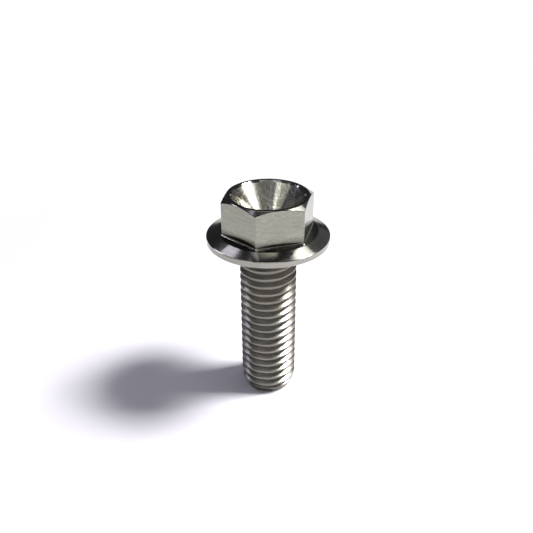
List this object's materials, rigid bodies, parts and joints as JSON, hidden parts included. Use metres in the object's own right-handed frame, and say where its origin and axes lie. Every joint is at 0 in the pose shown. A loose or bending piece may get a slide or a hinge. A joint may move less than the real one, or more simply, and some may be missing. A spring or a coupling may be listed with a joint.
{
  "type": "flange bolt",
  "caption": "Machined metal hexagon flange bolt with a conically dished head and a fully threaded M10 shank.",
  "frame": {"origin": "centre of the flat end of the shank, the lowest face of the bolt", "axes": "+Z along the bolt's axis from the shank's end to the head; -Y out of one flat of the hexagon; +X through one corner of the hexagon"},
  "size_m": [0.021, 0.021, 0.0381],
  "materials": {
    "titanium": "bare machined titanium with fine turning and milling marks"
  },
  "bodies": {
    "root": {"flange_bolt": "titanium"}
  },
  "joints": []
}
